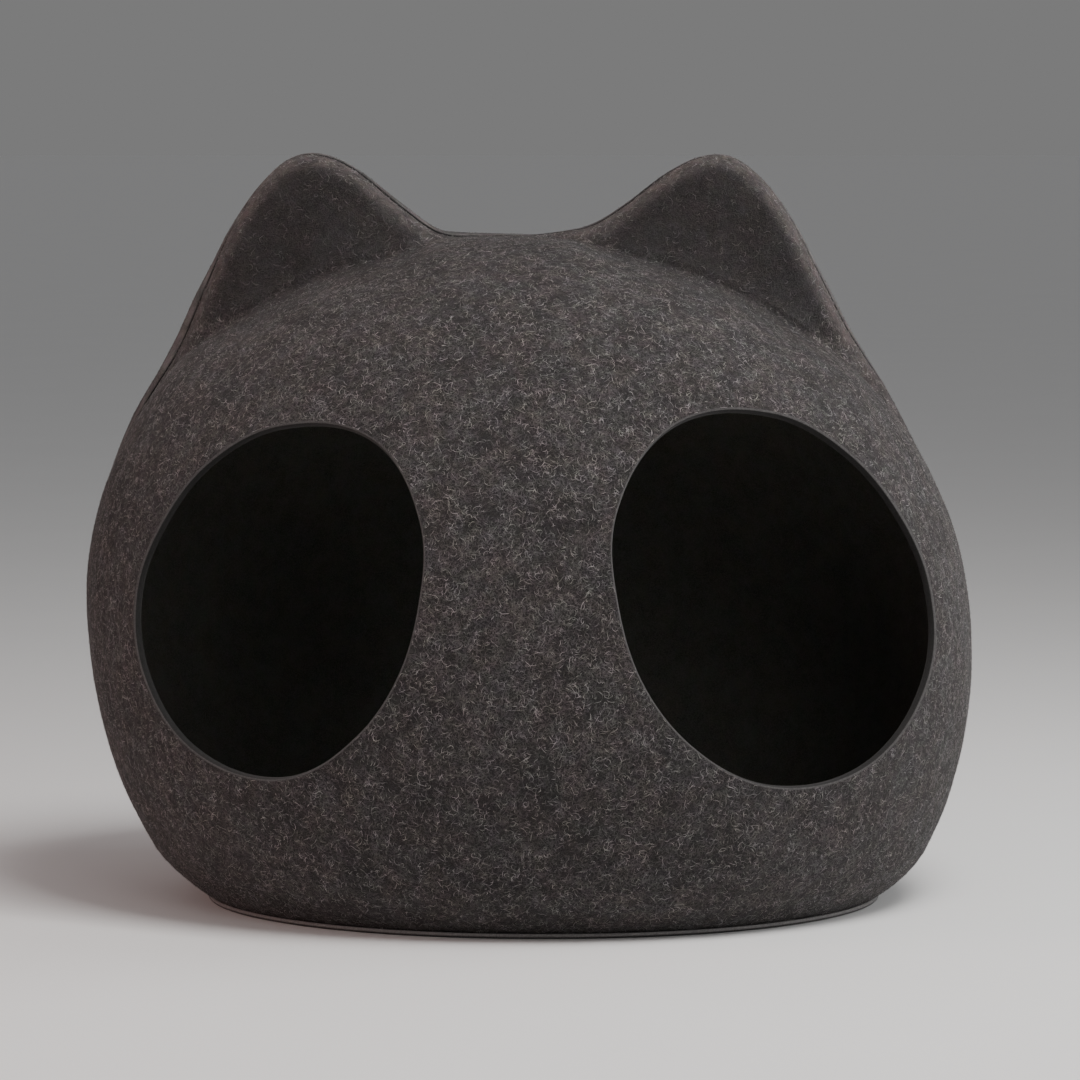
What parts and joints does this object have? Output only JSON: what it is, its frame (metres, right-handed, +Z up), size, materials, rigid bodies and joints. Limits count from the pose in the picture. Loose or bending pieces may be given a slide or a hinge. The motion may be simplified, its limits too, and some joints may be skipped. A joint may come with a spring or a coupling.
{
  "type": "felt cat cave",
  "caption": "Moulded felt pet cave in the shape of a cat's head, with hollow pointed ears, oval openings in the front half and a flat felt floor.",
  "frame": {"origin": "on the floor, under the middle of the cave's bounding box", "axes": "+X across the width, from the left ear to the right one as seen from the front; -Y towards the front, where the openings are; +Z up"},
  "size_m": [0.4803, 0.388, 0.403],
  "materials": {
    "shell_felt": "thick charcoal heather felt with short curly paler fibres on its outer face",
    "base_felt": "smooth dense dark grey felt with a paler cut edge"
  },
  "bodies": {
    "root": {"front_shell": "shell_felt", "back_shell": "shell_felt", "base_panel": "base_felt"}
  },
  "joints": []
}
